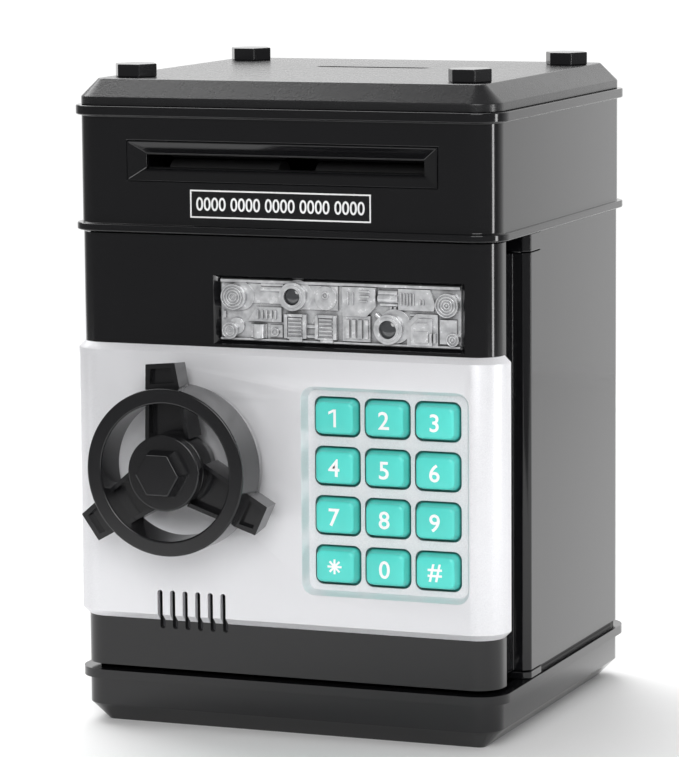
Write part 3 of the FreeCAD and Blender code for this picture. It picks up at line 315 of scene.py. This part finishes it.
def circle(radius, centre=(0, 0), sides=48, start=0.0):
    """Points (x, z) of a regular polygon or a circle."""
    turns = [start + 2 * math.pi * step / sides for step in range(sides)]
    return [(centre[0] + radius * math.cos(turn), centre[1] + radius * math.sin(turn)) for turn in turns]


def rectangle(left, bottom, right, top):
    return [(left, bottom), (right, bottom), (right, top), (left, top)]


def rounded_rectangle(centre, half_wide, half_high, radius, steps=7):
    points = []
    for corner, (side_x, side_z) in enumerate(((1, 1), (-1, 1), (-1, -1), (1, -1))):
        hub = (centre[0] + side_x * (half_wide - radius), centre[1] + side_z * (half_high - radius))
        for step in range(steps + 1):
            turn = math.pi / 2 * (corner + step / steps)
            points.append((hub[0] + radius * math.cos(turn), hub[1] + radius * math.sin(turn)))
    return points


def join_rings(work, rings):
    """Faces between each ring of vertices and the next one."""
    for near, far in zip(rings, rings[1:]):
        for index in range(len(near)):
            after = (index + 1) % len(near)
            work.faces.new((near[index], near[after], far[after], far[index]))


def loft(work, loops):
    """A closed solid through loops of points that match one to one."""
    rings = [[work.verts.new(point) for point in loop] for loop in loops]
    work.faces.new(rings[0])
    work.faces.new(rings[-1][::-1])
    join_rings(work, rings)


def prism(work, outline, back, front, draft=1.0):
    """An outline of (x, z) points carried from one Y to another, scaled at the front by draft."""
    mid_x = sum(x for x, _ in outline) / len(outline)
    mid_z = sum(z for _, z in outline) / len(outline)
    face = [(mid_x + (x - mid_x) * draft, front, mid_z + (z - mid_z) * draft) for x, z in outline]
    loft(work, [[(x, back, z) for x, z in outline], face])


def tube(work, centre, inner, outer, back, front, sides=64):
    """A ring about an axis along Y."""
    corners = ((outer, back), (outer, front), (inner, front), (inner, back))
    rings = [[work.verts.new((x, y, z)) for x, z in circle(radius, centre, sides)]
             for radius, y in corners]
    join_rings(work, rings + rings[:1])


def to_mesh(work, name, transform=Matrix.Identity(4)):
    """Close the bmesh into a mesh in metres, with its faces turned outwards."""
    bmesh.ops.recalc_face_normals(work, faces=work.faces)
    work.transform(Matrix.Scale(MM, 4) @ transform)
    mesh = bpy.data.meshes.new(name)
    work.to_mesh(mesh)
    work.free()
    return mesh


def box_mm(node):
    return [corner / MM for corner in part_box(node)]


# ---------------------------------------------------------------- hand wheel

def pocketed_block(work, loops, rim, depth):
    """A block through matching loops whose front face has a sunk panel."""
    front = [Vector(point) for point in loops[-1]]
    middle = sum(front, Vector()) / len(front)
    sunk = []
    for point in front:
        reach = middle - point
        sunk.append(point + Vector((math.copysign(rim, reach.x), 0, math.copysign(rim, reach.z))))
    floor = [point + Vector((0, depth, 0)) for point in sunk]
    loft(work, [*loops, sunk, floor])


def channel(work, back, front, rib, depth):
    """An open-ended bar between two loops, with raised ribs along both sides of its front."""
    panel = [(math.copysign(abs(x) - rib, x), y, z) for x, y, z in front]
    floor = [(x, y + depth, z) for x, y, z in panel]
    rings = [[work.verts.new(point) for point in loop] for loop in (back, front, panel, floor)]
    join_rings(work, rings)
    for ring in (rings[0], rings[-1]):
        for index in range(len(front) // 2 - 1):
            work.faces.new((ring[index], ring[index + 1], ring[-2 - index], ring[-1 - index]))


def make_wheel():
    wheel_low, wheel_high = box_mm("hand_wheel")
    cap_low, cap_high = box_mm("wheel_hex_cap")
    axis_x, axis_z = (cap_low.x + cap_high.x) / 2, (cap_low.z + cap_high.z) / 2
    centred = Matrix.Translation((axis_x, 0, axis_z))
    satin = "satin_plastic"

    hub_front, boss_back = wheel_low.y, wheel_high.y
    hub_round, boss_round = 11.6, 9.0
    groove_front, groove_back, hub_back = hub_front + 3.4, hub_front + 4.7, hub_front + 12
    rim_outer, rim_inner = 25.6, 21.0
    rim_front = hub_front + 1.0
    rim_back = rim_front + 13.7
    work = bmesh.new()
    tube(work, (0, 0), rim_inner, rim_outer, rim_back, rim_front, sides=128)
    prism(work, circle(hub_round, sides=96), groove_front + 0.2, hub_front)
    prism(work, circle(hub_round - 1.0, sides=96), groove_back + 0.2, groove_front)
    prism(work, circle(hub_round - 0.3, sides=96), hub_back, groove_back)
    prism(work, circle(boss_round, sides=64), boss_back, hub_back - 0.5)
    finish_piece("wheel_rim_and_hub", to_mesh(work, "wheel_rim", centred), "wheel", satin,
                 ("hand_wheel",), edge=0.55 * MM, segments=4)

    grip_reach = wheel_high.z - axis_z
    arm_front = rim_front + 4.2
    tip_half, widening = 4.8, 0.106
    arm_count, arm_turn = 3, -5

    def across(radius, y):
        """The bar's two edges at a radius; it widens towards the hub."""
        half = tip_half + widening * (grip_reach - radius)
        return (-half, y, radius), (half, y, radius)

    work = bmesh.new()
    for arm in range(arm_count):
        part = bmesh.new()
        # The bar inside the rim, from the rim's inner face to the hub.
        stations = (rim_inner + 0.8, 16.0, hub_round - 2.2)
        bar = []
        for y in (rim_back, arm_front):
            left, right = zip(*[across(radius, y) for radius in stations])
            bar.append([*left, *right[::-1]])
        channel(part, *bar, rib=1.25, depth=3.2)
        # The grip outside the rim narrows a little towards the back.
        root = rim_outer - 0.5
        front = [*across(root, arm_front), *across(grip_reach, arm_front)[::-1]]
        back = [(x * 0.84, rim_back, radius - 0.9 * (radius > root)) for x, _, radius in front]
        pocketed_block(part, [back, front], rim=1.5, depth=2.0)
        part.transform(Matrix.Rotation(math.radians(360 / arm_count * arm + arm_turn), 4, "Y"))
        carried = bpy.data.meshes.new("arm")
        part.to_mesh(carried)
        part.free()
        work.from_mesh(carried)
        bpy.data.meshes.remove(carried)
    finish_piece("wheel_arms", to_mesh(work, "wheel_arms", centred), "wheel", satin,
                 edge=0.35 * MM, segments=3, angle=25)

    half_flats = (cap_high.z - cap_low.z) / 2
    foot, face = ((half_flats + grow) / math.cos(math.pi / 6) for grow in (0.95, 0.05))
    profile = ((foot, hub_front + 0.2), (foot, hub_front - 0.4), (face, cap_low.y))
    work = bmesh.new()
    loft(work, [[(x, y, z) for x, z in circle(radius, sides=6)] for radius, y in profile])
    finish_piece("wheel_cap_soft", to_mesh(work, "wheel_cap", centred), "wheel", satin,
                 ("wheel_hex_cap",), edge=0.35 * MM, segments=4, angle=20)


# ---------------------------------------------------------------- keypad

def sign_mesh(name, height, thick):
    """A key's sign as a mesh, centred, with its front at -Y."""
    if name not in ("1", "star"):
        return text_mesh(name, "#" if name == "hash" else name, height, thick, 0.012)
    work = bmesh.new()
    if name == "1":
        stroke = height * 0.15
        flag_top, flag_low = height * 0.36, height * 0.2
        outline = [(stroke, -height / 2), (stroke, height / 2), (-stroke * 0.1, height / 2),
                   (-stroke * 2, flag_top), (-stroke * 2, flag_low), (0, flag_top), (0, -height / 2)]
    else:
        # Eight arms: each has two corners at its tip, and neighbours meet in a notch.
        reach, half, arms = height * 0.42, height * 0.06, 8
        outline = []
        for arm in range(arms):
            turn = 2 * math.pi * arm / arms
            for along, side in ((reach, -half), (reach, half)):
                outline.append((along * math.cos(turn) - side * math.sin(turn),
                                along * math.sin(turn) + side * math.cos(turn)))
            notch, between = half / math.sin(math.pi / arms), turn + math.pi / arms
            outline.append((notch * math.cos(between), notch * math.sin(between)))
    prism(work, outline, 0, -thick)
    return work


def text_mesh(name, words, height, thick, weight):
    """Words as a mesh in millimetres, centred, facing the front."""
    curve = bpy.data.curves.new(name, "FONT")
    curve.body = words
    curve.size = 1.0
    curve.offset = weight
    curve.resolution_u = 6
    curve.fill_mode = "FRONT"
    holder = link(name + "_curve", curve)
    bpy.context.view_layer.update()
    evaluated = holder.evaluated_get(bpy.context.evaluated_depsgraph_get())
    mesh = bpy.data.meshes.new_from_object(evaluated)
    bpy.data.objects.remove(holder)
    bpy.data.curves.remove(curve)
    work = bmesh.new()
    work.from_mesh(mesh)
    bpy.data.meshes.remove(mesh)
    bmesh.ops.remove_doubles(work, verts=work.verts, dist=1e-5)
    low_x, high_x = (pick(vert.co.x for vert in work.verts) for pick in (min, max))
    low_y, high_y = (pick(vert.co.y for vert in work.verts) for pick in (min, max))
    scale = height / (high_y - low_y)
    for vert in work.verts:
        x, y = vert.co.x - (low_x + high_x) / 2, vert.co.y - (low_y + high_y) / 2
        vert.co = (x * scale, 0, y * scale)
    faces = bmesh.ops.extrude_face_region(work, geom=list(work.faces))
    moved = [item for item in faces["geom"] if isinstance(item, bmesh.types.BMVert)]
    bmesh.ops.translate(work, verts=moved, vec=(0, -thick, 0))
    return work


def make_keys():
    """Twelve keys: a leaning side, a rounded edge, a crowned top, a printed sign and a hidden flange."""
    flange, flange_thick, corner = 0.6, 0.8, 2.4
    edge, edge_steps, lean = 1.0, 6, 0.95
    sign_height, sign_thick, sign_sink = 5.4, 0.1, 0.06
    for node in [body for body in frame["bodies"] if body.startswith("key_")]:
        key_low, key_high = box_mm(node)
        centre = ((key_low.x + key_high.x) / 2, (key_low.z + key_high.z) / 2)
        half_wide, half_high = ((key_high[axis] - key_low[axis]) / 2 - flange for axis in (0, 2))
        front, back = key_low.y, key_high.y

        def outline(y, inset, radius):
            points = rounded_rectangle(centre, half_wide - inset, half_high - inset, radius)
            return [(x, y, z) for x, z in points]

        profile = [(back - flange_thick, 0.0)]
        for step in range(edge_steps + 1):
            turn = math.pi / 2 * step / edge_steps
            profile.append((front + 0.2 + edge * (1 - math.sin(turn)), lean + edge * (1 - math.cos(turn))))
        profile += [(front + 0.08, lean + edge + 0.9), (front + 0.01, lean + edge + 2.0)]
        work = bmesh.new()
        loft(work, [outline(y, inset, max(corner - inset * 0.6, 0.5)) for y, inset in profile])
        loft(work, [outline(y, -flange, corner + flange) for y in (back, back - flange_thick)])
        finish_piece(node + "_cap", to_mesh(work, node), node, "key_plastic", (node,),
                     angle=50)
        place = Matrix.Translation((centre[0], front + sign_sink, centre[1]))
        sign = to_mesh(sign_mesh(node[4:], sign_height, sign_thick), node + "_sign", place)
        finish_piece(node + "_print", sign, node, "key_print")


# ---------------------------------------------------------------- window relief

def make_relief():
    """A moulded panel of made-up machinery: discs, lenses, louvred boxes, fins and pipes.

    Places are measured across from the panel's left edge and down from its top, in millimetres.
    """
    relief_low, relief_high = box_mm("window_relief")
    wide, tall = 77.2, 18.4
    left = (relief_low.x + relief_high.x - wide) / 2
    top = (relief_low.z + relief_high.z + tall) / 2
    plate = relief_low.y + 0.75
    panel = bmesh.new()
    glass = bmesh.new()

    def at(across, down):
        return left + across, top - down

    def flat(across, down, width, height, rise, draft=0.9):
        x, z = at(across, down)
        prism(panel, rectangle(x, z - height, x + width, z), plate + 0.1, plate - rise, draft)

    def shape(points, rise, draft=0.95):
        prism(panel, [at(*point) for point in points], plate + 0.1, plate - rise, draft)

    def disc(across, down, radius, rise, ridge=0.85):
        """A round boss with concentric ridges on its face."""
        centre = at(across, down)
        prism(panel, circle(radius, centre), plate + 0.1, plate - rise)
        while radius > 0.8:
            tube(panel, centre, radius - 0.38, radius, plate - rise + 0.1, plate - rise - 0.35, sides=48)
            radius -= ridge
        prism(panel, circle(0.35, centre, 20), plate - rise + 0.1, plate - rise - 0.3)

    def lens(across, down, radius, rise):
        """A stepped collar around a dark domed glass."""
        centre = at(across, down)
        tube(panel, centre, radius - 1.1, radius, plate + 0.1, plate - rise)
        tube(panel, centre, radius - 1.75, radius - 0.9, plate + 0.1, plate - rise - 0.35)
        bowl = radius - 1.7
        for_glass = [(bowl, plate), (bowl, plate - rise + 0.8), (bowl * 0.8, plate - rise + 0.5),
                     (bowl * 0.5, plate - rise + 0.3), (bowl * 0.2, plate - rise + 0.22)]
        loft(glass, [[(x, y, z) for x, z in circle(reach, centre, 40)] for reach, y in for_glass])

    def louvred_box(across, down, width, height, rise, slats):
        """A box with a raised frame and slats inside it."""
        flat(across, down, width, height, rise, 0.97)
        for rail_across, rail_down, rail_wide, rail_tall in (
                (0, 0, 1.1, height), (width - 1.1, 0, 1.1, height),
                (1.0, 0, width - 2.0, 0.9), (1.0, height - 0.7, width - 2.0, 0.7)):
            flat(across + rail_across, down + rail_down, rail_wide, rail_tall, rise + 0.5, 0.95)
        pitch = (height - 1.9) / slats
        for slat in range(slats):
            flat(across + 1.3, down + 1.2 + slat * pitch, width - 2.6, pitch * 0.5, rise + 0.45, 0.95)

    def fins(across, down, count, pitch, width, height, rise):
        for fin in range(count):
            flat(across + fin * pitch, down, width, height, rise, 0.85)

    def pipe(start, end, radius):
        """A half-sunk rod between two places."""
        (x0, z0), (x1, z1) = at(*start), at(*end)
        along = Vector((x1 - x0, 0, z1 - z0)).normalized()
        side = Vector((-along.z, 0, along.x))
        ends = []
        for x, z in ((x0, z0), (x1, z1)):
            middle = Vector((x, plate - radius * 0.4, z))
            ends.append([middle + side * out + Vector((0, deep, 0))
                         for out, deep in circle(radius, sides=20)])
        loft(panel, ends)

    prism(panel, rectangle(left, top - tall, left + wide, top), relief_high.y, plate)
    flange = rectangle(relief_low.x, relief_low.z, relief_high.x, relief_high.z)
    prism(panel, flange, relief_high.y, relief_high.y - 0.9)

    # plates, from the left
    flat(0.0, 0.0, wide, 0.9, 0.9, 1.0)
    flat(0.0, tall - 0.6, wide, 0.6, 1.0, 1.0)
    shape(((8.6, 12.7), (11.6, 8.0), (20.2, 8.0), (20.2, 12.7)), 1.0)
    flat(8.2, 1.0, 12.4, 6.2, 0.45, 0.97)
    shape(((27.6, 1.0), (38.3, 1.0), (38.3, 8.6), (26.4, 8.6)), 0.6, 0.97)
    shape(((39.6, 0.9), (50.6, 0.9), (50.6, 6.8), (47.6, 10.0), (39.6, 10.0)), 1.5, 0.97)
    shape(((39.6, 9.6), (48.8, 9.6), (48.8, 17.6), (39.6, 17.6)), 1.1, 0.97)
    shape(((57.4, 1.0), (67.6, 1.0), (69.6, 5.6), (69.0, 7.6), (57.4, 7.6)), 1.1, 0.97)
    shape(((60.2, 18.0), (60.2, 11.3), (63.2, 8.4), (70.2, 8.4), (70.2, 18.0)), 0.9, 0.98)
    shape(((61.6, 18.0), (61.6, 12.2), (64.2, 9.7), (68.6, 9.7), (68.6, 18.0)), 1.5, 0.98)
    flat(70.6, 9.8, 5.6, 7.6, 0.8, 0.96)
    # round bosses
    prism(panel, circle(4.4, at(6.6, 5.0)), plate + 0.1, plate - 0.7)
    disc(4.6, 5.3, 3.9, 2.2)
    prism(panel, circle(2.5, at(5.2, 14.2)), plate + 0.1, plate - 0.8)
    disc(3.4, 15.6, 2.5, 1.9)
    disc(73.2, 5.6, 3.6, 1.7)
    disc(75.0, 15.8, 2.0, 1.5)
    prism(panel, circle(3.6, at(34.3, 4.8)), plate + 0.1, plate - 1.0)
    disc(34.3, 3.9, 1.1, 1.3, 0.6)
    prism(panel, circle(4.6, at(25.2, 4.1)), plate + 0.1, plate - 0.7)
    lens(23.8, 4.6, 4.3, 2.1)
    prism(panel, circle(5.2, at(56.4, 12.5)), plate + 0.1, plate - 0.8)
    lens(54.6, 13.4, 4.5, 2.2)
    # left machinery
    pipe((13.2, 2.7), (20.0, 2.7), 0.85)
    pipe((13.2, 1.3), (20.6, 1.3), 0.6)
    pipe((12.2, 6.6), (20.0, 6.6), 0.35)
    fins(12.0, 8.8, 5, 1.45, 0.75, 3.1, 1.7)
    flat(9.6, 13.2, 5.6, 4.6, 0.6)
    pipe((12.6, 13.3), (12.6, 17.6), 1.9)
    flat(15.9, 13.3, 4.4, 4.2, 0.5)
    disc(18.0, 15.6, 1.25, 1.4, 0.6)
    louvred_box(21.0, 9.8, 7.2, 7.6, 1.4, 5)
    louvred_box(31.0, 9.8, 7.0, 7.6, 1.4, 5)
    pipe((28.0, 13.6), (31.2, 13.6), 0.6)
    pipe((28.0, 16.6), (31.2, 16.6), 0.6)
    flat(22.4, 17.3, 4.6, 1.0, 1.6)
    flat(32.4, 17.3, 4.6, 1.0, 1.6)
    # middle machinery
    fins(41.4, 2.2, 2, 1.6, 0.7, 4.6, 2.0)
    flat(45.3, 1.9, 3.6, 0.7, 2.0)
    flat(45.3, 3.4, 3.6, 0.7, 2.0)
    flat(45.3, 4.9, 2.8, 0.6, 2.0)
    fins(40.8, 10.4, 4, 2.0, 1.5, 6.6, 1.8)
    pipe((50.2, 9.0), (53.4, 11.8), 0.8)
    pipe((51.2, 2.5), (57.4, 2.5), 0.8)
    pipe((51.2, 4.2), (57.6, 4.2), 1.3)
    pipe((51.6, 6.0), (57.4, 6.0), 0.6)
    pipe((55.0, 6.6), (55.0, 9.2), 0.45)
    pipe((56.4, 6.6), (56.4, 8.8), 0.55)
    # right machinery
    fins(58.4, 2.0, 5, 1.0, 0.5, 4.4, 1.6)
    fins(64.4, 4.0, 2, 1.1, 0.6, 1.9, 1.7)
    pipe((61.0, 8.9), (69.2, 8.9), 0.35)
    flat(63.0, 11.0, 4.4, 0.5, 1.9)
    flat(62.6, 13.4, 5.0, 3.8, 1.8)
    fins(66.6, 13.8, 3, 1.2, 0.7, 3.4, 2.0)
    flat(0.7, 9.6, 1.0, 2.4, 0.9)
    finish_piece("window_machinery", to_mesh(panel, "machinery"), "door",
                 "clear_plastic", ("window_relief",), edge=0.11 * MM, segments=2, angle=30)
    finish_piece("window_lenses", to_mesh(glass, "lenses"), "door", "dark_glass", angle=60)


# ---------------------------------------------------------------- label

def make_label():
    """A thin printed frame around a plain row of zeros."""
    plate_low, plate_high = box_mm("label_plate")
    left, face, bottom = plate_low
    right, _, top = plate_high
    line, ink, margin, digit_height = 0.45, 0.06, 2.0, 4.1
    bars = (rectangle(left, bottom, right, bottom + line), rectangle(left, top - line, right, top),
            rectangle(left, bottom + line, left + line, top - line),
            rectangle(right - line, bottom + line, right, top - line))
    work = bmesh.new()
    for bar in bars:
        prism(work, bar, face, face - ink)
    finish_piece("label_frame", to_mesh(work, "label_frame"), "case", "label_print")
    digits = text_mesh("label_digits", "0000 0000 0000 0000 0000", digit_height, ink, 0.01)
    span = max(vert.co.x for vert in digits.verts) * 2
    squeeze = (right - left - 2 * margin) / span
    place = Matrix.Translation(((left + right) / 2, face, (bottom + top) / 2))
    place = place @ Matrix.Diagonal((squeeze, 1, 1, 1))
    finish_piece("label_zeros", to_mesh(digits, "label_zeros", place), "case", "label_print")


make_wheel()
make_keys()
make_relief()
make_label()
soften("corner_bolts", 0.45 * MM)


# ---------------------------------------------------------------- camera and light

def add_camera():
    """A long lens a little above the lid, turned to the right-hand corner."""
    azimuth, elevation, roll = (math.radians(angle) for angle in (21.433, 7.779, -0.433))
    distance = 1.27641
    target = Vector((-0.0061, 0, cad_box[1][2] / 2 + 0.00013))
    level = math.cos(elevation)
    back = Vector((math.sin(azimuth) * level, -math.cos(azimuth) * level, math.sin(elevation)))
    right = Vector((math.cos(azimuth), math.sin(azimuth), 0))
    above = back.cross(right)
    turned_right = right * math.cos(roll) + above * math.sin(roll)
    turned_up = above * math.cos(roll) - right * math.sin(roll)
    data = bpy.data.cameras.new("camera")
    data.lens = 191.24
    data.sensor_width = 36
    data.clip_end = 20
    camera = link("camera", data)
    axes = Matrix((turned_right, turned_up, back)).transposed().to_4x4()
    camera.matrix_world = Matrix.Translation(target + back * distance) @ axes
    bpy.context.scene.camera = camera


def add_light(name, place, aim, width, height, power):
    data = bpy.data.lights.new(name, "AREA")
    data.shape = "RECTANGLE"
    data.size, data.size_y = width, height
    data.energy = power
    lamp = link(name, data)
    place, aim = Vector(place), Vector(aim)
    facing = (aim - place).to_track_quat("-Z", "Y").to_matrix().to_4x4()
    lamp.matrix_world = Matrix.Translation(place) @ facing


def add_world():
    """White to the camera; for light and reflections, dark in front and bright behind."""
    world = bpy.data.worlds.new("studio")
    world.use_nodes = True
    tree = world.node_tree
    soft = tree.nodes["Background"]
    place = add(tree, "ShaderNodeTexCoord")
    split = add(tree, "ShaderNodeSeparateXYZ")
    tree.links.new(place.outputs["Generated"], split.inputs["Vector"])
    spread = add(tree, "ShaderNodeMapRange")
    spread.inputs["From Min"].default_value = 0.3
    spread.inputs["From Max"].default_value = 0.85
    tree.links.new(split.outputs["Y"], spread.inputs["Value"])
    tree.links.new(ramp(tree, spread.outputs["Result"], 0.0, 0.2, 1.0, 1.0), soft.inputs["Color"])
    soft.inputs["Strength"].default_value = 1.15
    plain = add(tree, "ShaderNodeBackground")
    plain.inputs["Color"].default_value = (1, 1, 1, 1)
    plain.inputs["Strength"].default_value = 1.05
    rays = add(tree, "ShaderNodeLightPath")
    mix = add(tree, "ShaderNodeMixShader")
    tree.links.new(rays.outputs["Is Camera Ray"], mix.inputs["Fac"])
    tree.links.new(soft.outputs["Background"], mix.inputs[1])
    tree.links.new(plain.outputs["Background"], mix.inputs[2])
    tree.links.new(mix.outputs["Shader"], tree.nodes["World Output"].inputs["Surface"])
    bpy.context.scene.world = world


def add_stage():
    """A pale floor, lit from behind on the left, from the front, and by a low strip at the right."""
    floor_front, floor_back, floor_half = -0.45, 0.75, 0.9
    mesh = bpy.data.meshes.new("floor")
    corners = rectangle(-floor_half, floor_front, floor_half, floor_back)
    mesh.from_pydata([(x, y, 0) for x, y in corners], [], [(0, 1, 2, 3)])
    floor = link("floor", mesh)
    materials["floor"] = plastic("floor", (0.95, 0.95, 0.95), 0.8, spread=0.002)
    paint(floor, "floor")
    middle = (0, 0, 0.1)
    add_light("ceiling", (-0.75, 0.75, 1.5), (0, 0, 0), 1.6, 1.6, 33)
    add_light("front_high", (0.45, -1.5, 0.85), middle, 1.1, 0.9, 18)
    add_light("right_strip", (0.85, -0.1, 0.23), (0, -0.06, 0.2), 0.12, 0.46, 1.8)


add_camera()
add_world()
add_stage()

bpy.context.scene.view_settings.view_transform = "Standard"
